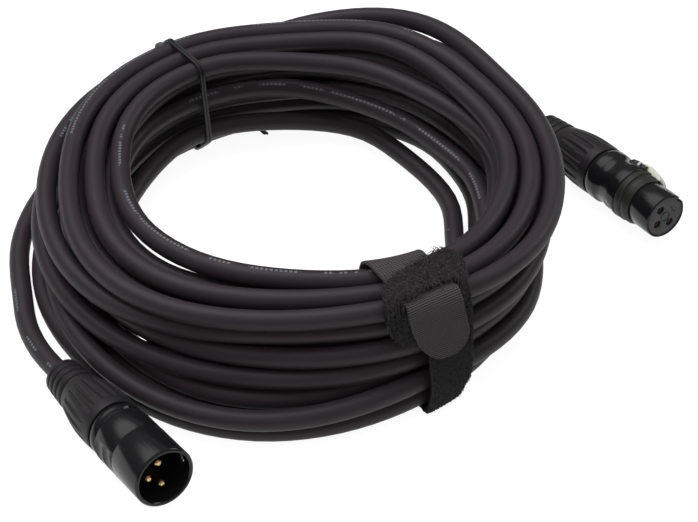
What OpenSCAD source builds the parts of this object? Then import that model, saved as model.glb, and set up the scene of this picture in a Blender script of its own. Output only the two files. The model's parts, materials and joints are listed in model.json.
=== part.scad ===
// Microphone cable with two three-pole XLR connectors, coiled, tied and strapped.
// Millimetres, +Z up, the coil lies flat on Z = 0 with the origin under the middle of the whole part.
// Seen from above: +X runs to the female connector side, -Y to the male connector side.

/* [Cable] */
// Outside diameter of the cable jacket
cable_d = 6.6; // [5.5:0.1:7.5]
// Diameter of the screened core inside the jacket
core_d = 4.4; // [3.5:0.1:5]
// Full turns per layer of the coil
turns_per_layer = 3; // [2:1:3]
// Stations the path is worked out at in one turn
stations = 22; // [20:2:22]
// Mean radius of the coil
coil_r = 76; // [72:0.2:80]

/* [Coil shape] */
// Angle where the cable climbs from one layer to the next
seam_at = 68; // [60:1:80]
// Angle of the hook-and-loop strap round the coil
strap_at = -59; // [-66:1:-50]
// Angle of the wire tie round the coil
tie_at = 126; // [115:1:135]
// How far the innermost top turn hangs in over the opening
droop_in = 3.5; // [0:0.5:7]

/* [Connectors] */
// Outside diameter of the male shell
male_d = 19; // [18.6:0.1:19.4]
// Inside diameter of the male shell mouth
male_mouth_d = 16.3; // [16.1:0.1:16.6]
// Depth of the male shell mouth
male_mouth_h = 16.5; // [15:0.5:18]
// Diameter of a contact pin
pin_d = 2.38; // [2.3:0.01:2.42]
// Distance of each contact from the connector axis
contact_off = 3.81; // [3.7:0.01:3.9]
// Outside diameter of the female nose
nose_d = 15.9; // [15.6:0.1:16.1]
// Bore of a socket contact
socket_bore = 2.46; // [2.42:0.01:2.6]
// Pitch of the thread between shell and boot nut
nut_pitch = 1.5; // [1:0.25:2]

/* [Strap] */
// Width of the strap band
strap_w = 20; // [16:1:25]
// Width of the strap head with the slot
strap_head_w = 32; // [26:1:36]
// Thickness of one layer of strap
strap_t = 1.3; // [0.8:0.1:2]

/* [Hidden] */
$fa = 6;
$fs = 0.4;
pack = cable_d + 0.25;
layers = 6;
step = 360 / stations;
cable_r = cable_d / 2;
rest_z = cable_r + 0.05;
// the coil's middle is moved by this, so that the origin is under the middle of the whole part
home = [-16.112, 11.449, 0.034];

// placing of the two connectors: middle of the mating face, heading, tilt and roll
male_at = [-35.4, -119.6, 16.1];
male_heading = -54.9;
male_tilt = 8.6;
male_roll = 0;
female_at = [122.5, 1.2, 12.45];
female_heading = -57.2;
female_tilt = 4.6;
female_roll = 34;
male_back = 29.5;
female_back = 32.5;
boot_len = 33;
strip_in = 2.5;
core_out = 3;
boot_room = 7.5;

// ---- coil path: six layers of turns, wound outward and inward in turn ----
function near(a, c, w) = let (d = ((a - c + 180) % 360 + 360) % 360 - 180) exp(-pow(d / w, 2));
function ease(x) = let (t = min(1, max(0, x))) t * t * (3 - 2 * t);
lean = [20, 230, 250, 60, 200, 300];
sway = [2.0, 3.4, 3.2, 3.6, 3.8, 3.6];
lobe = [1, 1, 2, 1, 2, 1];
gap_at = [40, 200, 310, 95, 250, 150];
function slack(a) = (1 - near(a, strap_at, 30)) * (1 - 0.8 * near(a, tie_at, 20));
function gap(a, l) = pack + 0.08
    + slack(a) * (0.45 + 1.35 * (1 + sin(a + gap_at[l]))) * (1 - 0.85 * near(a, 5, 36));
function middle(a) = coil_r + 2 * cos(a - 10) - near(a, strap_at, 25)
    - 3.6 * near(a, tie_at - 8, 36) - 3.4 * near(a, 185, 32) - 0.6 * near(a, 270, 35)
    - 3 * near(a, 36, 20) - 3.4 * near(a, -10, 30) - 5 * near(a, 4, 30)
    - 1.5 * near(a, 88, 40) - 1.2 * near(a, 165, 30) + 0.8 * near(a, -115, 20);
function slope(a) = -7 * near(a, 4, 34) + 6 * near(a, 195, 36) + 8.5 * near(a, 262, 36)
    + 2.5 * near(a, 85, 25) + 2 * near(a, 20, 22);
function calm(a) = (1 - near(a, seam_at, 24)) * (1 - 0.95 * near(a, strap_at, 30))
    * (1 - 0.85 * near(a, tie_at, 24));
function shift(a, l) = (2.5 - l) / 2.5 * slope(a) * (1 - near(a, seam_at, 18))
    + sway[l] * sin(lobe[l] * (a - seam_at) + lean[l]) * calm(a);
function row(l, u) = l % 2 == 0 ? turns_per_layer - u : u;
function reach(l, u, a) = middle(a) + gap(a, l) * (row(l, u) - turns_per_layer / 2) + shift(a, l)
    - (l == layers - 1 ? droop_in * near(a, 232, 26) * min(1, max(0, 1.6 - row(l, u))) : 0);
function row_set(l, k) = [for (j = [0 : turns_per_layer - (k % stations == 0 ? 0 : 1)])
    reach(l, (k % stations) / stations + j, seam_at + step * (k % stations))];
function ride(l, k) = max([for (x = row_set(l, k), y = row_set(l - 1, k))
    abs(x - y) < pack ? sqrt(pack * pack - pow(x - y, 2)) : 0]);
function wrap3(v, k) = [v[(k + stations - 1) % stations], v[k], v[(k + 1) % stations]];
function avg3(v) = (v[0] + v[1] + v[2]) / 3;
function lift(l) = let (v = [for (k = [0 : stations - 1]) ride(l, k)],
    m = [for (k = [0 : stations - 1]) max(wrap3(v, k))])
    [for (k = [0 : stations - 1]) avg3(wrap3(m, k))];
function heights(l, z) = l == layers ? [z] : concat([z], heights(l + 1, z + lift(l)));

// the bottom row sits on the floor, and a little higher where strap and tie pass under it
under = 1.88;
row_z = heights(1, [for (k = [0 : stations - 1]) let (a = seam_at + step * k)
    rest_z + under * min(1, near(a, strap_at, 38) + near(a, tie_at, 34))]);
last = layers * turns_per_layer * stations;

climb = 2.8;
climb_out = 4;
// one station of the coil as [radius, angle, height]; layers meet in a short climb at the seam
function coil_at(k) = let (l = min(layers - 1, floor(k / (turns_per_layer * stations))),
    a = seam_at + step * k, s = k % stations,
    n = round(k / (turns_per_layer * stations)), d = k - n * turns_per_layer * stations,
    t = ease((d + climb) / (2 * climb)), joins = n >= 1 && n < layers,
    z = joins && abs(d) <= climb ? row_z[n - 1][s] * (1 - t) + row_z[n][s] * t : row_z[l][s],
    out = joins ? (n % 2 == 0 ? 1 : -1) * climb_out * exp(-pow(d / 3, 2)) : 0)
    [reach(l, k / stations - l * turns_per_layer, a) + out, a, z];
function spot(c) = [c[0] * cos(c[1]), c[0] * sin(c[1]), c[2]];

// the end that leaves the top layer early and comes down outside the pile to the male connector
drop_n = 10;
early = 2;
leave = last - early;
function top_z(k) = row_z[layers - 1][k % stations];
function drop_z(k) = let (i = k - leave)
    top_z(k) + (rest_z - top_z(k)) * ease((i - 0.4) / (drop_n - 3.4));
function rim(l, k) = let (v = row_set(l, k), s = k % stations)
    max(v) - (l == layers - 1 && (s == 0 || s >= stations - early) ? gap(seam_at + step * s, l) : 0)
    + (l > 0 && l < layers - 1 ? climb_out * exp(-pow(min(s, stations - s) / 3, 2)) : 0);
function hug(k, z) = max([for (l = [0 : layers - 1]) let (g = abs(z - row_z[l][k % stations]))
    g < pack ? rim(l, k) + sqrt(pack * pack - g * g) : 0]);
function drop_at(k) = let (z = drop_z(k), i = k - leave, m = [for (j = [-1 : 1]) hug(k + j, z)])
    [max(m) * ease(i / 2.4) + (1 - ease(i / 2.4))
    * reach(layers - 1, turns_per_layer - early / stations, seam_at + step * k),
    seam_at + step * k, z];

function aim(h, t) = [cos(t) * cos(h), cos(t) * sin(h), sin(t)];
male_dir = aim(male_heading, male_tilt);
female_dir = aim(female_heading, female_tilt);
function unit(v) = v / norm(v);
function arc(p, u, q, v, n) = let (d = norm(q - p) * 0.36, b = p + u * d, c = q - v * d)
    [for (i = [1 : n - 1]) let (t = i / n, w = 1 - t)
        w * w * w * p + 3 * w * w * t * b + 3 * w * t * t * c + t * t * t * q];

// whole centre line from the female end to the male end; extra lengthens both ends
function centre_line(extra) = let (
    coil = [for (k = [0 : leave]) spot(coil_at(k))],
    fall = [for (k = [1 : drop_n]) spot(drop_at(leave + k))],
    f0 = female_back + strip_in - extra, f1 = female_back + boot_len + boot_room,
    m0 = male_back + strip_in - extra, m1 = male_back + boot_len + boot_room,
    fs = [for (i = [0 : 3]) female_at - female_dir * (f0 + (f1 - f0) * i / 3)],
    ms = [for (i = [0 : 3]) male_at - male_dir * (m1 + (m0 - m1) * i / 3)],
    e = len(fall) - 1)
    concat(fs,
        arc(fs[3], -female_dir, coil[0], unit(coil[1] - coil[0]), 4),
        coil, fall,
        arc(fall[e], unit(fall[e] - fall[e - 1]), ms[0], male_dir, 4),
        ms);

// ---- swept solids ----
function head_of(p, i) = let (n = len(p) - 1) unit(p[min(n, i + 1)] - p[max(0, i - 1)]);
function ring_at(p, i, r, n, ref) = let (t = head_of(p, i), u = unit(cross(t, ref)), v = cross(u, t))
    [for (j = [0 : n - 1]) p[i] + r * (cos(360 * j / n) * u + sin(360 * j / n) * v)];
function skin(m, n, base, flip) = [for (i = [0 : m - 2], j = [0 : n - 1], h = [0, 1])
    let (a = base + i * n + j, b = base + i * n + (j + 1) % n, c = a + n, d = b + n,
        f = h == 0 ? [a, b, d] : [a, d, c]) flip ? [f[2], f[1], f[0]] : f];
function disc(n, base, flip) = [for (j = [1 : n - 2])
    flip ? [base, base + j, base + j + 1] : [base, base + j + 1, base + j]];
module rod(p, r, n, ref) {
    m = len(p);
    pts = [for (i = [0 : m - 1]) each ring_at(p, i, r, n, ref)];
    polyhedron(pts, concat(skin(m, n, 0, false), disc(n, 0, false), disc(n, (m - 1) * n, true)));
}
// end ring between a polygon of 2n corners and one of n corners
function lip(n, o, b, flip) = [for (j = [0 : n - 1], h = [0 : 2]) let (
    p = o + 2 * j, q = o + (2 * j + 1) % (2 * n), s = o + (2 * j + 2) % (2 * n),
    u = b + j, v = b + (j + 1) % n,
    f = h == 0 ? [p, u, q] : h == 1 ? [q, u, s] : [s, u, v])
    flip ? [f[2], f[1], f[0]] : f];
module hose(p, ro, ri, n, ref) {
    m = len(p);
    out = [for (i = [0 : m - 1]) each ring_at(p, i, ro, 2 * n, ref)];
    inn = [for (i = [0 : m - 1]) each ring_at(p, i, ri, n, ref)];
    b = len(out);
    polyhedron(concat(out, inn), concat(
        skin(m, 2 * n, 0, false), skin(m, n, b, true),
        lip(n, 0, b, false), lip(n, (m - 1) * 2 * n, b + (m - 1) * n, true)));
}

up = [0, 0, 1];
jacket_line = centre_line(0);
core_line = centre_line(core_out);
bore_r = core_d / 2 + 0.2;

module cable_jacket() {
    color([0.13, 0.12, 0.13])
    translate(home) hose(jacket_line, cable_r, bore_r, 5, up);
}
module cable_core() {
    color([0.5, 0.42, 0.34])
    translate(home) rod(core_line, core_d / 2, 5, up);
}

// ---- connector frames: +Z out of the mouth, origin on the mating face, +Y at the latch ----
module in_frame(p, h, t, roll) {
    translate(home + p) rotate([0, 0, h]) rotate([0, 90 - t, 0]) rotate([0, 0, roll]) children();
}
module on_male() { in_frame(male_at, male_heading, male_tilt, male_roll) children(); }
module on_female() { in_frame(female_at, female_heading, female_tilt, female_roll) children(); }
function contact(i) = i == 1 ? [contact_off, 0] : i == 2 ? [-contact_off, 0] : [0, -contact_off];
module turned(p) { rotate_extrude($fn = 96) polygon(p); }

// rear end, shared by both connectors; z = 0 at the front edge of the boot
neck_r = 7.2;
neck_bore = 6.4;
neck_len = 7;
nut_gap = 0.07;
module chuck() {
    difference() {
        turned([[3.45, 1.3], [6.2, 1.3], [6.2, -7.2], [4.35, -12.2], [3.45, -12.2]]);
        for (i = [0 : 3]) rotate([0, 0, 45 + 90 * i]) translate([3, -0.4, -12.5]) cube([4, 0.8, 10.5]);
    }
}
module nut() {
    turned([[neck_r + nut_gap, -0.3], [8.3, -0.3], [8.3, -8], [6.6, -14], [4.4, -14], [4.4, -12.8],
        [6.5, -7.8], [neck_r + nut_gap, -7.5]]);
}
module boot() {
    difference() {
        turned([[8.42, -0.2], [9.0, -0.2], [9.15, -0.6], [9.25, -2.5], [9.3, -5], [9.25, -7.5],
            [9.1, -10], [8.8, -12.5], [8.4, -15], [7.9, -17.5], [7.3, -20], [7.0, -21.4],
            [6.3, -21.8], [6.3, -22.6], [6.9, -23], [6.85, -24.6], [6.1, -25], [6.1, -25.8],
            [6.65, -26.2], [6.6, -27.6], [5.9, -28], [5.9, -28.8], [6.4, -29.2], [6.35, -30.6],
            [5.7, -31], [5.7, -31.5], [6.1, -31.8], [6.05, -33], [3.65, -33], [3.65, -14.6],
            [6.7, -14.15], [8.42, -8.05]]);
        for (i = [0 : 17]) rotate([0, 0, 20 * i]) translate([10.0, 0, -3.6]) rotate([0, 185.4, 0])
            cylinder(r = 1.0, h = 14.4, $fn = 24);
    }
}

// ---- male connector ----
module finger_dents(rad, spots) {
    for (z = spots) translate([-12, -rad - 1.9, z]) rotate([0, 90, 0]) cylinder(r = 2.8, h = 24, $fn = 48);
}
module male_shell() {
    color([0.05, 0.05, 0.06]) on_male() difference() {
        turned([[male_mouth_d / 2, -male_mouth_h], [male_mouth_d / 2, -0.4], [male_mouth_d / 2 + 0.3, 0],
            [male_d / 2 - 0.5, 0], [male_d / 2, -0.5], [male_d / 2, -14.2], [male_d / 2 - 0.35, -14.5],
            [male_d / 2 - 0.35, -14.9], [male_d / 2 - 0.1, -15.3], [male_d / 2 - 0.1, -24.6],
            [8.7, -25.4], [8.5, -26.2], [9.0, -26.8], [9.1, -28.2], [8.7, -29.1], [8.2, 0.05 - male_back],
            [neck_r, -male_back], [neck_r, -male_back - neck_len], [neck_bore, -male_back - neck_len],
            [neck_bore, -22.8], [8.1, -22.8], [8.1, -17.3], [7.4, -17.3], [7.4, -male_mouth_h]]);
        translate([-2.4, 7, -6]) cube([4.8, 4, 2.6]);
        finger_dents(9.3, [-17.9, -22.5]);
    }
}
// radius of a pin where it sits in the insert
pin_root = pin_d / 2 + 0.4;
module male_insert() {
    color([0.1, 0.1, 0.1]) on_male() difference() {
        union() {
            translate([0, 0, -22.6]) cylinder(r = 8.0, h = 5.2, $fn = 96);
            translate([0, 0, -17.5]) cylinder(r = 7.3, h = 0.9, $fn = 96);
        }
        for (i = [1 : 3]) translate([contact(i)[0], contact(i)[1], -25])
            cylinder(r = pin_root + 0.1, h = 9, $fn = 48);
        translate([6.1, -1.4, -23.1]) cube([0.75, 2.8, 5]);
    }
}
module male_pin(i) {
    r = pin_d / 2;
    color([0.83, 0.68, 0.32]) on_male() translate([contact(i)[0], contact(i)[1], 0])
    turned([[0, -2.4], [r * 0.5, -2.55], [r * 0.85, -2.95], [r, -3.6], [r, -16.3], [pin_root, -16.7],
        [pin_root, -22.7], [1.5, -22.75],
        [1.5, -26.4], [1.05, -26.4], [1.05, -23.6], [0, -23.4]]);
}
module male_pin_1() { male_pin(1); }
module male_pin_2() { male_pin(2); }
module male_pin_3() { male_pin(3); }
module male_ground_tab() {
    color([0.75, 0.74, 0.7]) on_male() translate([6.22, -1.25, -22.75]) cube([0.5, 2.5, 4.5]);
}
module male_rear() { on_male() translate([0, 0, -male_back]) children(); }
module male_chuck() { color([0.85, 0.85, 0.82]) male_rear() chuck(); }
module male_nut() { color([0.16, 0.16, 0.17]) male_rear() nut(); }
module male_boot() { color([0.08, 0.08, 0.08]) male_rear() boot(); }

// stripped conductors from the core end to the solder cups
wire_r = 0.6;
function wire_line(i, z0, z1) = let (c = contact(i), s = 1.25 / contact_off)
    [for (k = [0 : 5]) let (t = k / 5, w = ease(1.8 * t), m = s * (1 - w) + w)
        [c[0] * m, c[1] * m, z0 + (z1 - z0) * t]];
module wire(i, z0, z1) { rod(wire_line(i, z0, z1), wire_r, 6, [0, 1, 0]); }
male_core_z = -(male_back + strip_in - core_out) + 0.4;
female_core_z = -(female_back + strip_in - core_out) + 0.4;
module male_wire_screen() { color([0.8, 0.55, 0.35]) on_male() wire(1, male_core_z, -24.6); }
module male_wire_white() { color([0.92, 0.92, 0.9]) on_male() wire(2, male_core_z, -24.6); }
module male_wire_blue() { color([0.15, 0.25, 0.6]) on_male() wire(3, male_core_z, -24.6); }

// ---- female connector ----
nose_r = nose_d / 2;
seat_r = nose_r - 0.3;
latch_y = 8.7;
latch_z = -20.4;
module female_shell() {
    color([0.05, 0.05, 0.06]) on_female() difference() {
        union() {
            turned([[7.3, -0.5], [nose_r - 0.3, 0], [nose_r, -0.3], [nose_r, -9.6], [seat_r, -9.65],
                [seat_r, -16.5], [9.2, -16.5],
                [9.35, -17], [9.3, -20], [8.7, -23], [8.45, -25], [8.7, -26.4], [9.2, -27.6],
                [9.3, -30.4], [8.9, -31.9], [8.2, 0.05 - female_back], [neck_r, -female_back],
                [neck_r, -female_back - neck_len], [neck_bore, -female_back - neck_len],
                [neck_bore, -24.6], [7.3, -24.6]]);
            difference() {
                intersection() {
                    translate([-4.4, 4, -24]) cube([8.8, 8, 7]);
                    translate([0, 1.9, -25]) cylinder(r = 8.4, h = 10, $fn = 72);
                    translate([-6, 0.6, -16.4]) rotate([0, 90, 0]) cylinder(r = 10.6, h = 12, $fn = 72);
                }
                translate([0, 0, -26]) cylinder(r = 8.2, h = 12, $fn = 96);
            }
        }
        translate([-2.9, 7.02, -22.6]) cube([5.8, 6, 13.6]);
        translate([-1.3, 6.4, -9.1]) cube([2.6, 3, 10]);
        translate([-5, latch_y, latch_z]) rotate([0, 90, 0]) cylinder(r = 0.8, h = 10, $fn = 36);
        finger_dents(9.0, [-20.2, -25.4]);
    }
}
module female_insert() {
    color([0.14, 0.14, 0.15]) on_female() difference() {
        translate([0, 0, -24.4]) cylinder(r = 7.15, h = 24.1, $fn = 96);
        for (i = [1 : 3]) translate([contact(i)[0], contact(i)[1], 0]) {
            translate([0, 0, -1.3]) cylinder(r = 1.5, h = 2, $fn = 48);
            translate([0, 0, -25]) cylinder(r = 1.82, h = 23.8, $fn = 48);
        }
        difference() {
            translate([0, 0, -0.6]) cylinder(r = 1.95, h = 1, $fn = 48);
            translate([0, 0, -0.7]) cylinder(r = 1.45, h = 1.2, $fn = 48);
        }
        translate([-2, 3.3, -0.6]) cube([4, 0.4, 1]);
        translate([-3.2, 6.3, -25]) cube([6.4, 2, 16.5]);
        translate([-1.5, 6.2, -9]) cube([3, 2, 10]);
        translate([6.15, -1.4, -24.9]) cube([0.7, 2.8, 5.5]);
    }
}
module socket(i) {
    r = socket_bore / 2;
    color([0.83, 0.68, 0.32]) on_female() translate([contact(i)[0], contact(i)[1], 0])
    turned([[r, -16], [r, -1.8], [r + 0.2, -1.5], [1.72, -1.5], [1.72, -24.6], [1.5, -24.65],
        [1.5, -28], [1.05, -28], [1.05, -25], [0, -24.8], [0, -16.4]]);
}
module female_socket_1() { socket(1); }
module female_socket_2() { socket(2); }
module female_socket_3() { socket(3); }
module female_ground_tab() {
    color([0.75, 0.74, 0.7]) on_female() translate([6.27, -1.25, -24.5]) cube([0.45, 2.5, 4.7]);
}
module female_gasket() {
    color([0.13, 0.13, 0.1]) on_female() difference() {
        turned([[seat_r + 0.1, -9.75], [8.25, -9.75], [8.45, -10.2], [8.6, -10.9],
            [8.8, -11.2], [8.8, -13], [8.55, -13.3], [8.55, -13.7], [9.15, -14],
            [9.15, -16.2], [9.0, -16.4], [seat_r + 0.1, -16.4]]);
        translate([-3.2, 5, -17]) cube([6.4, 6, 8]);
    }
}
module latch_button() {
    color([0.75, 0.77, 0.7]) on_female() difference() {
        translate([-2.7, 0, 0]) rotate([90, 0, 90]) linear_extrude(5.4)
            polygon([[8.3, -9.8], [9.0, -10.4], [9.8, -11.8], [10.4, -13.6], [10.7, -15.4],
                [10.6, -17.2], [10.2, -19.2], [9.6, -21.2], [9.0, -22.2], [8.1, -22.3], [7.6, -21.4],
                [7.5, -19], [8.1, -12], [8.1, -9.9]]);
        translate([-3, latch_y, latch_z]) rotate([0, 90, 0]) cylinder(r = 0.82, h = 6, $fn = 36);
        translate([-1, latch_y, latch_z]) rotate([0, 90, 0]) cylinder(r = 2.0, h = 2, $fn = 48);
    }
}
module latch_pin() {
    color([0.7, 0.7, 0.72]) on_female() translate([-4, latch_y, latch_z]) rotate([0, 90, 0])
        cylinder(r = 0.74, h = 8, $fn = 36);
}
spring_line = [for (k = [0 : 36])
    [-0.75 + 1.5 * k / 36, latch_y + 1.3 * cos(30 * k), latch_z + 1.3 * sin(30 * k)]];
module latch_spring() {
    color([0.7, 0.7, 0.72]) on_female() rod(spring_line, 0.2, 5, [1, 0, 0]);
}
module female_rear() { on_female() translate([0, 0, -female_back]) children(); }
module female_wire_screen() { color([0.8, 0.55, 0.35]) on_female() wire(1, female_core_z, -26); }
module female_wire_white() { color([0.92, 0.92, 0.9]) on_female() wire(2, female_core_z, -26); }
module female_wire_blue() { color([0.15, 0.25, 0.6]) on_female() wire(3, female_core_z, -26); }
module female_chuck() { color([0.85, 0.85, 0.82]) female_rear() chuck(); }
module female_nut() { color([0.16, 0.16, 0.17]) female_rear() nut(); }
module female_boot() { color([0.08, 0.08, 0.08]) female_rear() boot(); }

// ---- strap: the bundle seen end-on at one angle, [outward, height] ----
function turn_to(p, a) = [p[0] * cos(a) + p[1] * sin(a), p[1] * cos(a) - p[0] * sin(a), p[2]];
function cuts(a, span) = let (q = [for (p = jacket_line) turn_to(p, a)])
    [for (i = [0 : len(q) - 2], c = [-span : span / 2 : span])
        let (p = q[i], n = q[i + 1], f = (c - p[1]) / (n[1] - p[1]))
        if (p[0] > 0 && f >= 0 && f < 1) let (m = p + (n - p) * f) [m[0], m[2]]];
strap_cuts = cuts(strap_at, strap_head_w / 2);
function mid(v) = (min(v) + max(v)) / 2;
strap_mid = [mid([for (c = strap_cuts) c[0]]), mid([for (c = strap_cuts) c[1]])];
slack_in = 0.4;
ply_gap = 0.08;
module bundle(d) {
    hull() for (c = strap_cuts) translate(c) circle(r = cable_r + d, $fn = 48);
}
module ply(n) {
    difference() {
        bundle(slack_in + n * (strap_t + ply_gap) + strap_t);
        bundle(slack_in + n * (strap_t + ply_gap));
    }
}
module wedge(a, b) {
    translate(strap_mid) polygon(concat([[0, 0]],
        [for (i = [0 : 12]) let (t = a + (b - a) * i / 12) 70 * [cos(t), sin(t)]]));
}
module across(w) {
    translate(home) rotate([0, 0, strap_at]) rotate([90, 0, 0]) translate([0, 0, -w / 2])
        linear_extrude(w) children();
}
slot_a = 66;
tip_a = 4;
pad_a = 96;
seam_a = -96;
module strap_tape() {
    color([0.12, 0.12, 0.13]) across(strap_w) {
        intersection() { ply(0); wedge(slot_a, 360 + seam_a); }
        intersection() {
            difference() { bundle(slack_in + 2 * strap_t + ply_gap); bundle(slack_in); }
            wedge(slot_a - 3.5, slot_a);
        }
    }
}
module strap_pad() {
    color([0.1, 0.1, 0.11]) {
        difference() {
            across(strap_head_w) {
                intersection() { ply(1); wedge(slot_a + 2, pad_a); }
                intersection() { ply(0); wedge(22, slot_a - 6); }
                intersection() {
                    difference() { bundle(slack_in + 2 * strap_t + ply_gap); bundle(slack_in); }
                    wedge(slot_a - 6.5, slot_a + 2.5);
                }
            }
            across(strap_w + 0.6) wedge(slot_a - 6, slot_a + 3);
        }
        across(strap_w + 2) intersection() {
            difference() { bundle(slack_in + strap_t - 0.03); bundle(slack_in + 0.03); }
            wedge(seam_a + 1, 26);
        }
    }
}
module strap_tail() {
    color([0.14, 0.14, 0.15]) across(strap_w - 0.4) intersection() { ply(1); wedge(tip_a, slot_a - 7); }
}

// ---- wire tie: a rounded loop round the bundle with its two ends twisted ----
tie_cuts = cuts(tie_at, 3);
tie_r = 0.65;
tie_off = cable_r + tie_r + 0.2;
function best(v) = let (m = max(v)) [for (i = [0 : len(v) - 1]) if (v[i] == m) i][0];
function tie_loop(t) = let (n = [cos(t), sin(t)]) tie_cuts[best([for (c = tie_cuts) c * n])] + tie_off * n;
function stand(q, w, a) = [q[0] * cos(a) - w * sin(a), q[0] * sin(a) + w * cos(a), q[1]];
tie_start = 200;
tie_n = 40;
tail_n = 14;
tail_len = 9;
function tail_pt(k, h) = let (f = k / tail_n, o = [cos(tie_start + 40), sin(tie_start + 40)], m = 0.75)
    stand(tie_loop(tie_start) + o * (1.1 + tail_len * f) + [-o[1], o[0]] * m * cos(h + 420 * f) * 0.6,
        m * sin(h + 420 * f), tie_at);
tie_line = concat(
    [for (k = [tail_n : -1 : 0]) tail_pt(k, 90)],
    [for (i = [1 : tie_n - 1]) stand(tie_loop(tie_start + 360 * i / tie_n), 0.75 - 1.5 * i / tie_n, tie_at)],
    [for (k = [0 : tail_n]) tail_pt(k, 270)]);
module wire_tie() {
    color([0.07, 0.07, 0.07]) translate(home) rod(tie_line, tie_r, 7, [-sin(tie_at), cos(tie_at), 0]);
}

cable_jacket();
cable_core();
male_shell();
male_insert();
male_pin_1();
male_pin_2();
male_pin_3();
male_ground_tab();
male_wire_screen();
male_wire_white();
male_wire_blue();
male_chuck();
male_nut();
male_boot();
female_shell();
female_insert();
female_socket_1();
female_socket_2();
female_socket_3();
female_ground_tab();
female_gasket();
latch_button();
latch_pin();
latch_spring();
female_wire_screen();
female_wire_white();
female_wire_blue();
female_chuck();
female_nut();
female_boot();
strap_pad();
strap_tape();
strap_tail();
wire_tie();
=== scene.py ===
"""Coiled microphone cable: looks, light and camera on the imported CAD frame. Metres, +Z up."""

import json
import math

import bmesh
import bpy
import numpy as np
from mathutils import Matrix, Vector

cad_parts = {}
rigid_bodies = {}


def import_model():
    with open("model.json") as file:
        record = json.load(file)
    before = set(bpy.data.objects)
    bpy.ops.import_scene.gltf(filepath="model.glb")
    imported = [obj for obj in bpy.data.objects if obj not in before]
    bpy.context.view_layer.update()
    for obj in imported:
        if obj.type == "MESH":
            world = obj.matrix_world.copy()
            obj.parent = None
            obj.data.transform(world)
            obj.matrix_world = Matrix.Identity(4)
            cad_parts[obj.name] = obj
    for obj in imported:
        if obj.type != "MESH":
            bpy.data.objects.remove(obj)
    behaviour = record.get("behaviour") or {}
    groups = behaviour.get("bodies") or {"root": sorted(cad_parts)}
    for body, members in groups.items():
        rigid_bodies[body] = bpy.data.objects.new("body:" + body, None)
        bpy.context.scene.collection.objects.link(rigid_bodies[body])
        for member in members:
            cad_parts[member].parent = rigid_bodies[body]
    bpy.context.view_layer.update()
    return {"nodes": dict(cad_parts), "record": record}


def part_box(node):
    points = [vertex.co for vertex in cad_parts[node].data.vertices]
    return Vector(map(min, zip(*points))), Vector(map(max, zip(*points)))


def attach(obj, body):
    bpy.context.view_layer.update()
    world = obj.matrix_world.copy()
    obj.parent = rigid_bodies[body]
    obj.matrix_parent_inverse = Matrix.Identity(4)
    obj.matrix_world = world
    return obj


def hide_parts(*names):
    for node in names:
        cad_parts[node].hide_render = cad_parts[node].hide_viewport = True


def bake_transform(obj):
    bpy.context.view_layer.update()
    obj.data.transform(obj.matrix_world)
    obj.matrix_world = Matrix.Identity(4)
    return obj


for start_up in list(bpy.data.objects):
    bpy.data.objects.remove(start_up)

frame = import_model()
nodes = frame["nodes"]
record = frame["record"]
MM = 0.001


# ---- places read from the frame ----

def mount(name):
    return next(m for m in record["mounts"] if m["name"] == name)


def connector_frame(end, depth):
    """Axes of a connector: +Z out of the mouth, +Y at the latch, origin on the mating face."""
    right, left = mount(f"{end}_contact_1"), mount(f"{end}_contact_2")
    z = Vector(right["axis"]).normalized()
    x = (Vector(right["pos_m"]) - Vector(left["pos_m"])).normalized()
    y = z.cross(x)
    origin = (Vector(right["pos_m"]) + Vector(left["pos_m"])) / 2 + z * depth
    turn = Matrix((x, y, z)).transposed()
    return Matrix.Translation(origin) @ turn.to_4x4()


male = connector_frame("male", 9.95 * MM)
opening = np.array(record["physics"]["openings"][0]["box_m"])
coil_middle = opening.mean(0)[:2]
CABLE_RADIUS = 3.3 * MM
CORE_RADIUS = 2.2 * MM
CORE_SIDES = 5              # of the plain CAD core
CORE_END = -29 * MM         # where the core stops behind the male mating face
STRIPPED = 3 * MM           # jacket cut back from each end of the core
FLOOR_PRESS = 0.4 * MM      # whatever comes lower than this is pressed flat on the floor


def joint_angle(name):
    """Angle round the coil of a hinge whose axis runs along the cable."""
    axis = next(j for j in record["behaviour"]["joints"] if j["name"] == name)["axis"]
    return math.atan2(axis[0], -axis[1])


def angle_of(node):
    low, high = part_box(node)
    middle = (low + high) / 2
    return math.atan2(middle.y - coil_middle[1], middle.x - coil_middle[0])


# ---- mesh helpers ----

def add_object(name, bm, body, *replaced):
    """An object from bm that rides on body and stands for the CAD nodes in replaced."""
    for v in bm.verts:
        if v.co.z < FLOOR_PRESS:
            v.co.z = FLOOR_PRESS * math.exp((v.co.z - FLOOR_PRESS) / FLOOR_PRESS)
    mesh = bpy.data.meshes.new(name)
    bm.normal_update()
    bm.to_mesh(mesh)
    bm.free()
    for face in mesh.polygons:
        face.use_smooth = True
    obj = bpy.data.objects.new(name, mesh)
    bpy.context.collection.objects.link(obj)
    if body:
        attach(obj, body)
    if replaced:
        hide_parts(*replaced)
    return obj


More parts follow.
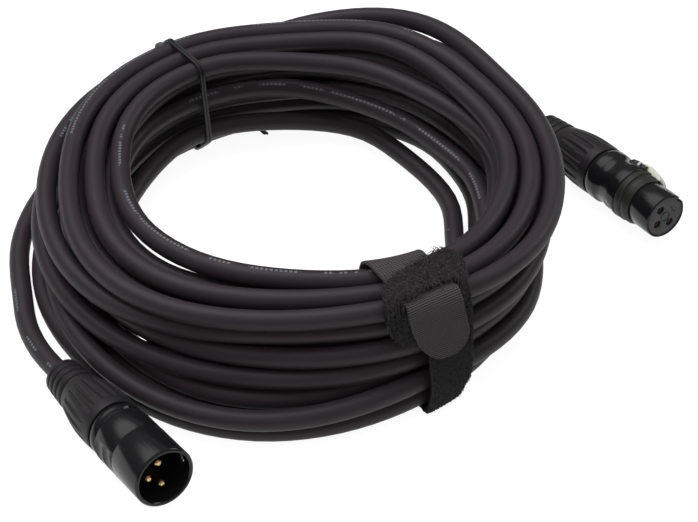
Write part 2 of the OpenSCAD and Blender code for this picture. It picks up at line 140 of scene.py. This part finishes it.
def smooth_path(points, step):
    """A natural cubic spline through points, resampled evenly."""
    p = np.asarray(points, float)
    t = np.concatenate([[0], np.cumsum(np.linalg.norm(np.diff(p, axis=0), axis=1))])
    h = np.diff(t)
    n = len(p)
    a = np.zeros((n, n))
    b = np.zeros((n, 3))
    a[0, 0] = a[-1, -1] = 1
    for i in range(1, n - 1):
        a[i, i - 1:i + 2] = h[i - 1], 2 * (h[i - 1] + h[i]), h[i]
        b[i] = 6 * ((p[i + 1] - p[i]) / h[i] - (p[i] - p[i - 1]) / h[i - 1])
    m = np.linalg.solve(a, b)
    at = np.linspace(0, t[-1], max(2, round(t[-1] / step) + 1))
    i = np.clip(np.searchsorted(t, at, side="right") - 1, 0, n - 2)
    d, e, w = at - t[i], t[i + 1] - at, h[i]
    d, e, w = d[:, None], e[:, None], w[:, None]
    return (m[i] * e ** 3 + m[i + 1] * d ** 3) / (6 * w) \
        + (p[i] / w - m[i] * w / 6) * e + (p[i + 1] / w - m[i + 1] * w / 6) * d


def sections(path):
    """Two unit vectors across the path at each point, carried along without twist."""
    tangent = np.gradient(path, axis=0)
    tangent /= np.linalg.norm(tangent, axis=1)[:, None]
    side = np.cross(tangent[0], (0, 0, 1))
    across = []
    for t in tangent:
        side = side - t * (side @ t)
        side = side / np.linalg.norm(side)
        across.append((side, np.cross(t, side)))
    return across


def sweep(bm, path, radius, sides, closed_ends=True, inward=False):
    """A tube round path. Returns its first and last rings. UVs run in metres along and round."""
    uv = bm.loops.layers.uv.verify()
    along = np.concatenate([[0], np.cumsum(np.linalg.norm(np.diff(path, axis=0), axis=1))])
    radii = np.broadcast_to(radius, len(path))
    turn = [2 * math.pi * k / sides for k in range(sides)]
    rings = [[bm.verts.new(c + r * (u * math.cos(a) + v * math.sin(a))) for a in turn]
             for c, r, (u, v) in zip(path, radii, sections(path))]
    around = 2 * math.pi * float(np.max(radii)) / sides
    for i in range(len(rings) - 1):
        for k in range(sides):
            n = (k + 1) % sides
            quad = [rings[i][k], rings[i][n], rings[i + 1][n], rings[i + 1][k]]
            where = [(along[i], k), (along[i], k + 1), (along[i + 1], k + 1), (along[i + 1], k)]
            if inward:
                quad, where = quad[::-1], where[::-1]
            face = bm.faces.new(quad)
            for loop, (a, b) in zip(face.loops, where):
                loop[uv].uv = (a, b * around)
    if closed_ends:
        bm.faces.new(rings[0][::-1])
        bm.faces.new(rings[-1])
    return rings[0], rings[-1]


# ---- the cable's path, read from the CAD core ----

def rod_middles(obj, end, outward, sides):
    """Middles of the rings of a swept CAD rod, from the end that lies at `end` facing `outward`."""
    grid, reach = 1e-6, 8 * MM
    co = np.array([v.co for v in obj.data.vertices])
    keys, index = np.unique(np.round(co / grid).astype(np.int64), axis=0, return_inverse=True)
    index = index.reshape(-1)
    spots = keys * grid
    near = [set() for _ in spots]
    for e in obj.data.edges:
        a, b = index[e.vertices[0]], index[e.vertices[1]]
        if a != b:
            near[a].add(b)
            near[b].add(a)
    offset = spots - np.array(end)
    close = np.where(np.linalg.norm(offset, axis=1) < reach)[0]
    ring = sorted(close, key=lambda i: -(offset[i] @ np.array(outward)))[:sides]
    level, seen, middles = set(ring), set(ring), []
    while level:
        middles.append(spots[sorted(level)].mean(0))
        level = set().union(*(near[i] for i in level)) - seen
        seen |= level
    return np.array(middles)


core_end = male @ Vector((0, 0, CORE_END))
knots = rod_middles(nodes["cable_core"], core_end, male.col[2].xyz, CORE_SIDES)
line = smooth_path(knots, 5 * MM)
covered = np.linalg.norm(line - line[0], axis=1) > STRIPPED
covered &= np.linalg.norm(line - line[-1], axis=1) > STRIPPED
jacket_line = line[covered]


# ---- cable ----

bm = bmesh.new()
outer = sweep(bm, jacket_line, CABLE_RADIUS, 24, closed_ends=False)
inner = sweep(bm, jacket_line, CORE_RADIUS + 0.15 * MM, 12, closed_ends=False, inward=True)
for wide, narrow, flip in ((outer[0], inner[0], False), (outer[1], inner[1], True)):
    for k in range(12):
        n = (k + 1) % 12
        face = [wide[2 * k], narrow[k], narrow[n], wide[(2 * k + 2) % 24], wide[2 * k + 1]]
        bm.faces.new(face[::-1] if flip else face)
add_object("cable_skin", bm, "coil", "cable_jacket")

bm = bmesh.new()
sweep(bm, line, CORE_RADIUS, 12)
add_object("cable_screen", bm, "coil", "cable_core")


# ---- the bundle seen end-on: [outward, height] in the upright plane at an angle round the coil ----

def plane_cuts(angle, across):
    """Where the cable crosses that plane, moved `across` sideways."""
    c, s = math.cos(angle), math.sin(angle)
    x = (jacket_line[:, 0] - coil_middle[0]) * c + (jacket_line[:, 1] - coil_middle[1]) * s
    y = (jacket_line[:, 1] - coil_middle[1]) * c - (jacket_line[:, 0] - coil_middle[0]) * s - across
    i = np.where((y[:-1] * y[1:] <= 0) & (x[:-1] > 0))[0]
    f = y[i] / (y[i] - y[i + 1])
    return np.c_[x[i] + (x[i + 1] - x[i]) * f,
                 jacket_line[i, 2] + (jacket_line[i + 1, 2] - jacket_line[i, 2]) * f]


ROUND = np.radians(np.arange(0, 360, 1.0))
NORMALS = np.c_[np.cos(ROUND), np.sin(ROUND)]


class Bundle:
    """The skin stretched round the strands at one angle of the coil."""

    def __init__(self, angle, half_width, rows):
        self.angle = angle
        self.across = np.linspace(-half_width, half_width, rows)
        cuts = [plane_cuts(angle, s) for s in self.across]
        every = np.concatenate(cuts)
        self.middle = (every.min(0) + every.max(0)) / 2
        self.alpha = np.radians(np.arange(-180, 181, 2.0))
        self.reach = np.array([self._reach(c) for c in cuts])

    def _reach(self, cuts):
        """Distance from the middle to the skin, for a tight skin and for one 4 mm proud."""
        hold = ((cuts - self.middle) @ NORMALS.T).max(0) + CABLE_RADIUS
        out = []
        for a in self.alpha:
            c = np.cos(ROUND - a)
            m = c > 0.05
            out.append([((hold[m] + d) / c[m]).min() for d in (0, 4 * MM)])
        return np.array(out)

    def point(self, alpha, s, lift):
        """A point at angle alpha about the bundle (0 outward, 90 up), s across, lift off the strands."""
        a = (math.radians(alpha) + math.pi) % (2 * math.pi) - math.pi
        i = (a - self.alpha[0]) / (self.alpha[1] - self.alpha[0])
        j = np.clip((s - self.across[0]) / (self.across[1] - self.across[0]), 0, len(self.across) - 1.001)
        i0, j0 = int(min(i, len(self.alpha) - 2)), int(j)
        fi, fj = i - i0, j - j0
        r = (self.reach[j0, i0] * (1 - fi) + self.reach[j0, i0 + 1] * fi) * (1 - fj) \
            + (self.reach[j0 + 1, i0] * (1 - fi) + self.reach[j0 + 1, i0 + 1] * fi) * fj
        r = r[0] + (r[1] - r[0]) * lift / (4 * MM)
        out, up = self.middle + r * np.array([math.cos(a), math.sin(a)])
        c, sn = math.cos(self.angle), math.sin(self.angle)
        return np.array([coil_middle[0] + out * c - s * sn, coil_middle[1] + out * sn + s * c, up])


def ease(x):
    x = min(1.0, max(0.0, x))
    return x * x * (3 - 2 * x)


# ---- hook-and-loop strap ----

strap = Bundle(joint_angle("strap_peel"), 17 * MM, 15)
SLOT, TIP, HEAD_END, SEAM = 63.0, 5.0, 98.0, -96.0      # degrees round the bundle
SLOT_FROM, SLOT_TO = 59.5, 67.5
SHEET = 1.15 * MM                       # thickness of the cloth
LOW, HIGH = 0.35 * MM, 1.75 * MM        # levels of the two layers; the cloth starts SHEET above its level
TAPE_HALF = 8.6 * MM
TAPE_MIDDLE = -2.9 * MM


def rounded_end(distance, half, radius):
    """Half width of a sheet whose corners are rounded, at a distance from its end."""
    if distance >= radius:
        return half
    return half - radius + math.sqrt(max(0.0, radius ** 2 - (radius - distance) ** 2))


def level_row(a, s):
    return a


def sheet(alphas, half_at, lift_at, columns, hole=None, slant=level_row):
    """Outer face of a cloth strip over the bundle. half_at gives its two edges, lift_at its level."""
    bm = bmesh.new()
    uv = bm.loops.layers.uv.verify()
    grid, along = [], 0.0
    last = None
    for a in alphas:
        left, right = half_at(a)
        row = []
        for k in range(columns + 1):
            s = left + (right - left) * k / columns
            row.append((bm.verts.new(strap.point(slant(a, s), s, lift_at(a, s) + 2 * SHEET)), s))
        mid = np.array(row[columns // 2][0].co)
        along += 0 if last is None else float(np.linalg.norm(mid - last))
        last = mid
        grid.append((row, along, a))
    for (r0, u0, a0), (r1, u1, a1) in zip(grid, grid[1:]):
        for k in range(columns):
            middle_s = (r0[k][1] + r0[k + 1][1]) / 2
            if hole and hole((a0 + a1) / 2, middle_s):
                continue
            corners = [(r0[k], u0), (r1[k], u1), (r1[k + 1], u1), (r0[k + 1], u0)]
            face = bm.faces.new([c[0][0] for c in corners])
            for loop, (corner, u) in zip(face.loops, corners):
                loop[uv].uv = (u, corner[1])
    loose = [v for v in bm.verts if not v.link_faces]
    bmesh.ops.delete(bm, geom=loose, context="VERTS")
    return bm


def thicken(obj):
    solid = obj.modifiers.new("cloth_thickness", "SOLIDIFY")
    solid.thickness = SHEET
    solid.offset = -1
    bevel = obj.modifiers.new("soft_edge", "BEVEL")
    bevel.width, bevel.segments, bevel.limit_method = 0.3 * MM, 2, "ANGLE"


def millimetres(alpha_a, alpha_b):
    """Length of the outer skin between two angles."""
    steps = [strap.point(a, 0, LOW) for a in np.linspace(alpha_a, alpha_b, 30)]
    return float(np.linalg.norm(np.diff(steps, axis=0), axis=1).sum())


def spread(first, last, step):
    return list(np.linspace(first, last, max(2, round(abs(last - first) / step) + 1)))


def head_half(a):
    """The two edges of the pad: a broad lobe round the slot, then a narrow band down to the seam."""
    left = 5.8 + 10.2 * ease((a - 16) / 30) + 1.6 * math.exp(-((a - 60) / 12) ** 2)
    right = 9.3 + 4.2 * ease((a - 60) / 24) - 2.8 * ease((-a - 10) / 50)
    if a > 80:
        cut = 9 * MM - rounded_end(millimetres(a, HEAD_END), 9 * MM, 6 * MM)
        left, right = left - cut / MM, right - cut / MM
    return -left * MM, right * MM


def head_slant(a, s):
    """The pad's top edge runs at a slant: lower on the left."""
    return a - 11 * ease((a - 68) / 28) * min(1, max(0, (12 * MM - s) / (26 * MM)))


def head_lift(a, s):
    return LOW + (HIGH - LOW) * ease((a - 58) / 9)


def tape_lift(a, s):
    return LOW + (HIGH - LOW) * ease((68 - a) / 8)


def in_slot(a, s):
    return SLOT_FROM < a < SLOT_TO and abs(s - TAPE_MIDDLE) < TAPE_HALF + 0.5 * MM


head_alphas = spread(HEAD_END, 86, 1) + spread(84, SEAM, 2)
bm = sheet(head_alphas, head_half, head_lift, 26, in_slot, head_slant)
strap_head = add_object("strap_head", bm, "coil", "strap_pad")
tape_alphas = spread(360 + SEAM, 62, 2)


def tape_half(a):
    middle = TAPE_MIDDLE * ease((360 + SEAM - a) / 110)
    return middle - TAPE_HALF, middle + TAPE_HALF


bm = sheet(tape_alphas, tape_half, tape_lift, 12)
strap_band = add_object("strap_band", bm, "coil", "strap_tape")


def tail_middle(a):
    return TAPE_MIDDLE * (1 - ease((56 - a) / 46))


def tail_half(a):
    half = rounded_end(millimetres(TIP, a), TAPE_HALF, 7.5 * MM)
    middle = tail_middle(a)
    return middle - half, middle + half


tail_alphas = spread(62, 14, 2) + spread(13, TIP, 0.5)
bm = sheet(tail_alphas, tail_half, tape_lift, 12)
strap_flap = add_object("strap_end_flap", bm, None, "strap_tail")
for obj in (strap_head, strap_band, strap_flap):
    thicken(obj)
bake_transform(strap_flap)


def pile(count, seed):
    """Short bent loops of thread standing on the head of the strap."""
    turn_per_m = math.degrees(1 / (14 * MM))
    spots = [(0, 0), (0.15, 0.75), (0.6, 1.0), (1.0, 0.45), (1.05, 0)]
    rng = np.random.RandomState(seed)
    bm = bmesh.new()
    made = 0
    while made < count:
        a = rng.uniform(SEAM + 20, HEAD_END)
        left, right = head_half(a)
        s = rng.uniform(left, right)
        under_flap = TIP + 2 < a < SLOT and abs(s - tail_middle(a)) < TAPE_HALF - 0.4 * MM
        if in_slot(a, s) or under_flap:
            continue
        made += 1
        rest = head_lift(a, s) + 2 * SHEET - 0.15 * MM
        height = rng.uniform(0.3, 1.05) * MM
        span = rng.uniform(0.3, 1.3) * MM
        heading = rng.uniform(0, 2 * math.pi)
        da, ds = span * math.cos(heading) * turn_per_m, span * math.sin(heading)
        ds = min(max(ds, left - s), right - s)
        a_on = head_slant(a, s)
        path = np.array([strap.point(a_on + da * f, s + ds * f, rest + height * h) for f, h in spots])
        path += rng.normal(0, 0.1 * MM, path.shape)
        sweep(bm, path, 0.075 * MM, 3, closed_ends=False)
    return bm


for k in (1, 2):
    add_object(f"strap_pile_{k}", pile(7500, 10 + k), "coil")


# ---- wire tie ----

tie_angle = angle_of("wire_tie")
tie = Bundle(tie_angle, 8 * MM, 9)
WIRE_RADIUS = 0.55 * MM
KINK = 1.7 * MM


def tie_lift(a):
    """The wire stands off the strands in a small kink at the upper outer corner."""
    return WIRE_RADIUS + 0.1 * MM + KINK * math.exp(-((a - 50) / 12) ** 2)


for k, offset in enumerate((-0.5 * MM, 0.5 * MM)):
    bm = bmesh.new()
    loop = [tie.point(a, offset + 0.9 * MM * math.sin(math.radians(a)), tie_lift(a))
            for a in range(0, 360, 4)]
    path = smooth_path(loop + loop[:1], 1.5 * MM)
    sweep(bm, path, WIRE_RADIUS, 10)
    add_object(f"tie_wire_{k + 1}", bm, "coil", *(["wire_tie"] if k == 0 else []))


def tie_tail(turns, phase):
    """One strand of the two twisted ends, which run under the strands and come out inside the coil."""
    steps, sweep_back, lay = 100, math.radians(24.5), 0.45 * MM
    points = []
    for i in range(steps + 1):
        f = i / steps
        a = 2 * math.pi * turns * f + phase
        radius = (70 - 6.2 * ease((f - 0.8) / 0.2)) * MM + lay * math.cos(a)
        around = tie_angle - sweep_back * f
        points.append((coil_middle[0] + radius * math.cos(around),
                       coil_middle[1] + radius * math.sin(around), 1.1 * MM + lay * math.sin(a)))
    return np.array(points)


for k in (0, 1):
    bm = bmesh.new()
    sweep(bm, tie_tail(7, math.pi * k), 0.42 * MM, 8)
    add_object(f"tie_twist_{k + 1}", bm, "coil")


# ---- materials ----

def new_material(name):
    m = bpy.data.materials.new(name)
    m.use_nodes = True
    return m, m.node_tree, m.node_tree.nodes["Principled BSDF"]


def place(tree, kind, **values):
    node = tree.nodes.new(kind)
    for key, value in values.items():
        if key in node.inputs:
            node.inputs[key].default_value = value
        else:
            setattr(node, key, value)
    return node


def feed(tree, socket, value):
    """Links an output to a socket, or sets the socket to a plain value."""
    if isinstance(value, bpy.types.NodeSocket):
        tree.links.new(value, socket)
    else:
        socket.default_value = value


def maths(tree, operation, *values):
    node = place(tree, "ShaderNodeMath", operation=operation)
    for socket, value in zip(node.inputs, values):
        feed(tree, socket, value)
    return node.outputs[0]


def ranged(tree, value, low, high):
    """value, from 0..1 to low..high."""
    node = place(tree, "ShaderNodeMapRange")
    node.inputs["To Min"].default_value = low
    node.inputs["To Max"].default_value = high
    tree.links.new(value, node.inputs["Value"])
    return node.outputs["Result"]


def noise(tree, coords, scale, detail=3.0):
    node = place(tree, "ShaderNodeTexNoise", Scale=scale, Detail=detail, Roughness=0.55)
    tree.links.new(coords, node.inputs["Vector"])
    return node.outputs["Fac"]


def tone(tree, fac, dark, light):
    """A colour from dark to light, each of them a colour or an output."""
    node = place(tree, "ShaderNodeMix", data_type="RGBA")
    colour_in = [s for s in node.inputs if s.type == "RGBA"]
    for socket, colour in zip(colour_in, (dark, light)):
        feed(tree, socket, colour if isinstance(colour, bpy.types.NodeSocket) else (*colour, 1))
    tree.links.new(fac, node.inputs["Factor"])
    return [s for s in node.outputs if s.type == "RGBA"][0]


def bumped(tree, height, strength, distance, bsdf):
    node = place(tree, "ShaderNodeBump", Strength=strength, Distance=distance)
    tree.links.new(height, node.inputs["Height"])
    tree.links.new(node.outputs["Normal"], bsdf.inputs["Normal"])


def surface(name, colour, rough, vary=0.15, grain=600, wear=60, bump=0.1, depth=0.05, **sockets):
    """A solid material with fine grain, uneven polish and a little colour variation."""
    m, tree, bsdf = new_material(name)
    coords = place(tree, "ShaderNodeTexCoord").outputs["Object"]
    fine, broad = noise(tree, coords, grain), noise(tree, coords, wear, 4)
    dark = [c * (1 - vary) for c in colour]
    light = [min(1, c * (1 + vary)) for c in colour]
    tree.links.new(tone(tree, broad, dark, light), bsdf.inputs["Base Color"])
    tree.links.new(ranged(tree, broad, rough * 0.85, min(1, rough * 1.15)), bsdf.inputs["Roughness"])
    bumped(tree, fine, bump, depth * MM, bsdf)
    for key, value in sockets.items():
        bsdf.inputs[key.replace("_", " ")].default_value = value
    return m


def paint(material, *names):
    for name in names:
        obj = nodes[name] if name in nodes else bpy.data.objects[name]
        obj.data.materials.clear()
        obj.data.materials.append(material)


black_metal = surface("black_plated_zinc", (0.006, 0.006, 0.007), 0.2, grain=900, bump=0.02,
                      Coat_Weight=0.35, Coat_Roughness=0.05, Specular_IOR_Level=0.35)
gold = surface("gold_plating", (0.95, 0.66, 0.28), 0.2, 0.06, bump=0.03, Metallic=1.0)
tin = surface("tin_plating", (0.72, 0.71, 0.68), 0.3, 0.08, bump=0.05, Metallic=1.0)
copper = surface("bare_copper", (0.8, 0.42, 0.25), 0.32, 0.1, grain=1800, bump=0.3, Metallic=1.0)
nylon = surface("insert_nylon", (0.035, 0.034, 0.036), 0.5, 0.15, grain=1500, bump=0.15)
nut_plastic = surface("nut_nylon", (0.03, 0.03, 0.032), 0.45, 0.15, bump=0.1)
acetal = surface("white_acetal", (0.8, 0.8, 0.77), 0.4, 0.05, bump=0.05)
white_wire = surface("white_insulation", (0.85, 0.85, 0.83), 0.35, 0.05)
blue_wire = surface("blue_insulation", (0.05, 0.13, 0.42), 0.35, 0.08)
rubber = surface("boot_rubber", (0.013, 0.0115, 0.0128), 0.42, 0.18, grain=1600, bump=0.12,
                 Specular_IOR_Level=0.4)
olive = surface("gasket_rubber", (0.014, 0.0138, 0.0098), 0.45, 0.2, grain=1600, bump=0.12)
latch_plastic = surface("latch_plastic", (0.40, 0.42, 0.34), 0.25, 0.06, bump=0.03)
socket_gold = surface("socket_gold", (0.45, 0.3, 0.12), 0.35, 0.1, bump=0.03, Metallic=1.0)
tie_plastic = surface("tie_plastic", (0.012, 0.012, 0.013), 0.35, 0.1)
core_braid = surface("copper_braid", (0.6, 0.36, 0.2), 0.4, 0.25, grain=2500, bump=0.6, Metallic=0.9)


def jacket_material():
    """Satin black flexible PVC with a faint grain and one broken row of worn pale length marks."""
    m, tree, bsdf = new_material("jacket_pvc")
    coords = place(tree, "ShaderNodeTexCoord").outputs["Object"]
    fine, broad = noise(tree, coords, 1400, 2), noise(tree, coords, 45, 4)
    body = tone(tree, broad, (0.0180, 0.0131, 0.0163), (0.0252, 0.0187, 0.0230))
    split = place(tree, "ShaderNodeSeparateXYZ")
    tree.links.new(place(tree, "ShaderNodeUVMap").outputs["UV"], split.inputs["Vector"])
    along, round_it = split.outputs["X"], split.outputs["Y"]

    def less(value, limit):
        return maths(tree, "LESS_THAN", value, limit)

    off_row = maths(tree, "ABSOLUTE", maths(tree, "SUBTRACT", round_it, 13.4 * MM))
    row = less(off_row, 0.42 * MM)
    dash = less(maths(tree, "PINGPONG", along, 0.75 * MM), 0.48 * MM)
    group = less(maths(tree, "PINGPONG", along, 365 * MM), 75 * MM)
    worn = maths(tree, "GREATER_THAN", noise(tree, coords, 120, 1), 0.46)
    mark = maths(tree, "MULTIPLY", maths(tree, "MULTIPLY", dash, row), maths(tree, "MULTIPLY", group, worn))
    tree.links.new(tone(tree, mark, body, (0.085, 0.09, 0.10)), bsdf.inputs["Base Color"])
    tree.links.new(ranged(tree, broad, 0.4, 0.5), bsdf.inputs["Roughness"])
    bsdf.inputs["Specular IOR Level"].default_value = 0.36
    bumped(tree, fine, 0.12, 0.03 * MM, bsdf)
    return m


def weave_material(name, rib, thread, dark, light):
    """Woven tape: ribs across the tape with threads crossing them, from the tape's own UVs in metres. The
    colour follows the bump's height: painted shade in the dips and a painted highlight on the crests.
    """
    m, tree, bsdf = new_material(name)
    split = place(tree, "ShaderNodeSeparateXYZ")
    tree.links.new(place(tree, "ShaderNodeUVMap").outputs["UV"], split.inputs["Vector"])

    def wave(value, pitch):
        return maths(tree, "SINE", maths(tree, "MULTIPLY", value, 2 * math.pi / pitch))

    ribs, threads = wave(split.outputs["X"], rib), wave(split.outputs["Y"], thread)
    crossing = maths(tree, "MULTIPLY", ribs, threads)
    fuzz = noise(tree, place(tree, "ShaderNodeTexCoord").outputs["Object"], 2500, 2)
    height = maths(tree, "ADD", maths(tree, "ADD", ribs, crossing), fuzz)
    level = place(tree, "ShaderNodeMapRange")
    level.inputs["From Min"].default_value = -1.6
    level.inputs["From Max"].default_value = 2.8
    tree.links.new(height, level.inputs["Value"])
    # painted shade and highlight: the colour runs from dark in the dips of the weave to light on its
    # crests, with a little random fuzz
    tree.links.new(tone(tree, level.outputs["Result"], dark, light), bsdf.inputs["Base Color"])
    bsdf.inputs["Roughness"].default_value = 0.75
    bsdf.inputs["Specular IOR Level"].default_value = 0.15
    bumped(tree, height, 0.9, 0.2 * MM, bsdf)
    return m


jacket = jacket_material()
# the dark colour is painted shade for the dips of the weave, the light one a painted highlight for its
# crests
weave = weave_material("woven_tape_painted_shade", 0.74 * MM, 0.95 * MM, (0.002, 0.0016, 0.002), (0.115, 0.101, 0.108))
pile_base = surface("pile_base", (0.012, 0.011, 0.012), 0.9, 0.3, grain=2200, bump=0.6, depth=0.2,
                    Specular_IOR_Level=0.05)
pile_thread = surface("pile_thread", (0.036, 0.033, 0.035), 0.6, 0.75, grain=3000, wear=1500,
                      Specular_IOR_Level=0.3)

paint(jacket, "cable_skin")
paint(core_braid, "cable_screen")
paint(black_metal, "male_shell", "female_shell")
paint(nylon, "male_insert", "female_insert")
paint(gold, *(f"male_pin_{i}" for i in (1, 2, 3)))
paint(socket_gold, *(f"female_socket_{i}" for i in (1, 2, 3)))
paint(tin, "male_ground_tab", "female_ground_tab", "latch_pin", "latch_spring")
paint(copper, "male_wire_screen", "female_wire_screen")
paint(white_wire, "male_wire_white", "female_wire_white")
paint(blue_wire, "male_wire_blue", "female_wire_blue")
paint(acetal, "male_chuck", "female_chuck")
paint(nut_plastic, "male_nut", "female_nut")
paint(rubber, "male_boot", "female_boot")
paint(olive, "female_gasket")
paint(latch_plastic, "latch_button")
paint(weave, "strap_band", "strap_end_flap")
paint(pile_base, "strap_head")
paint(pile_thread, "strap_pile_1", "strap_pile_2")
paint(tie_plastic, "tie_wire_1", "tie_wire_2", "tie_twist_1", "tie_twist_2")

# hard CAD parts get a fine edge radius and smooth round faces
for name in ("male_shell", "female_shell", "male_boot", "female_boot", "female_gasket",
             "male_nut", "female_nut", "male_insert", "female_insert", "latch_button"):
    obj = nodes[name]
    for face in obj.data.polygons:
        face.use_smooth = True
    weld = obj.modifiers.new("weld", "WELD")
    weld.merge_threshold = 0.002 * MM
    edge = obj.modifiers.new("edge_radius", "BEVEL")
    edge.width, edge.segments, edge.limit_method, edge.angle_limit = 0.12 * MM, 2, "ANGLE", math.radians(35)
    edge.harden_normals = True


# ---- floor, light and camera ----

def area_light(name, power, size, place_at):
    """A soft light aimed at the origin, which polished faces don't mirror."""
    data = bpy.data.lights.new(name, "AREA")
    data.energy, data.shape = power, "RECTANGLE"
    data.size, data.size_y = size
    obj = bpy.data.objects.new(name, data)
    obj.location = place_at
    obj.rotation_euler = (-Vector(place_at)).to_track_quat("-Z", "Y").to_euler()
    obj.visible_glossy = False
    bpy.context.collection.objects.link(obj)


bm = bmesh.new()
bmesh.ops.create_grid(bm, x_segments=1, y_segments=1, size=4)
floor_mesh = bpy.data.meshes.new("floor")
bm.to_mesh(floor_mesh)
bm.free()
floor = bpy.data.objects.new("floor", floor_mesh)
bpy.context.collection.objects.link(floor)
# near white to the camera and in reflections, mid grey to bounced light
floor_white, tree, bsdf = new_material("floor_white")
bsdf.inputs["Base Color"].default_value = (0.5, 0.5, 0.5, 1)
bsdf.inputs["Roughness"].default_value = 0.9
bsdf.inputs["Specular IOR Level"].default_value = 0.1
seen = place(tree, "ShaderNodeEmission", Color=(1, 1, 1, 1), Strength=0.93)
shade = place(tree, "ShaderNodeBsdfDiffuse", Color=(0.16, 0.16, 0.16, 1))
plain = place(tree, "ShaderNodeAddShader")
tree.links.new(seen.outputs[0], plain.inputs[0])
tree.links.new(shade.outputs[0], plain.inputs[1])
mirrored = place(tree, "ShaderNodeEmission", Color=(1, 1, 1, 1), Strength=0.75)
rays = place(tree, "ShaderNodeLightPath")


def picked(fac, without, with_it):
    """The shader without where fac is 0, with_it where it is 1."""
    node = place(tree, "ShaderNodeMixShader")
    tree.links.new(fac, node.inputs["Fac"])
    tree.links.new(without.outputs[0], node.inputs[1])
    tree.links.new(with_it.outputs[0], node.inputs[2])
    return node


bounced = picked(rays.outputs["Is Glossy Ray"], bsdf, mirrored)
whole = picked(rays.outputs["Is Camera Ray"], bounced, plain)
tree.links.new(whole.outputs[0], tree.nodes["Material Output"].inputs["Surface"])
floor.data.materials.append(floor_white)

# a studio tent: one broad soft patch overhead, dim round it, so that gloss black stays black
world = bpy.context.scene.world or bpy.data.worlds.new("world")
bpy.context.scene.world = world
world.use_nodes = True
sky = world.node_tree
heading = place(sky, "ShaderNodeTexCoord").outputs["Generated"]


def patch(direction, low, high):
    """Soft-edged patch of light round a direction."""
    toward = Vector(direction).normalized()
    dot = place(sky, "ShaderNodeVectorMath", operation="DOT_PRODUCT")
    sky.links.new(heading, dot.inputs[0])
    dot.inputs[1].default_value = toward
    edge = place(sky, "ShaderNodeMapRange", interpolation_type="SMOOTHSTEP")
    edge.inputs["From Min"].default_value, edge.inputs["From Max"].default_value = low, high
    sky.links.new(dot.outputs["Value"], edge.inputs["Value"])
    return edge.outputs["Result"]


above = patch((0, 0, 1), -0.05, 0.95)
softbox = patch((-0.3, 0.3, 0.9), 0.8, 0.97)
strip = patch((0.75, 0.45, 0.5), 0.975, 0.99)
ambient = maths(sky, "ADD", maths(sky, "MULTIPLY", above, 0.75), 0.28)
gloss = maths(sky, "ADD", maths(sky, "MULTIPLY", softbox, 1.1), maths(sky, "MULTIPLY", strip, 2.5))
gloss = maths(sky, "ADD", gloss, maths(sky, "ADD", maths(sky, "MULTIPLY", above, 0.14), 0.05))
choose = place(sky, "ShaderNodeMix", data_type="FLOAT")
sky.links.new(place(sky, "ShaderNodeLightPath").outputs["Is Glossy Ray"], choose.inputs["Factor"])
for level, socket in zip((ambient, gloss), choose.inputs[2:4]):
    sky.links.new(level, socket)
sky.links.new(choose.outputs[0], sky.nodes["Background"].inputs["Strength"])
sky.nodes["Background"].inputs["Color"].default_value = (1, 1, 1, 1)
area_light("key", 28, (1.5, 1.5), (-0.3, 0.35, 1.5))
area_light("side", 1.5, (0.25, 1.2), (-1.0, -0.5, 0.5))

aim = Vector((coil_middle[0] + 16.7 * MM, coil_middle[1] - 7 * MM, 0))
elevation, distance = math.radians(41), 620 * MM
eye = aim + distance * Vector((0, -math.cos(elevation), math.sin(elevation)))
camera_data = bpy.data.cameras.new("camera")
camera_data.sensor_width = 36
camera_data.lens = 95.4
camera = bpy.data.objects.new("camera", camera_data)
camera.location = eye
camera.rotation_euler = (aim - eye).to_track_quat("-Z", "Y").to_euler()
bpy.context.collection.objects.link(camera)
bpy.context.scene.camera = camera
bpy.context.scene.view_settings.view_transform = "Standard"
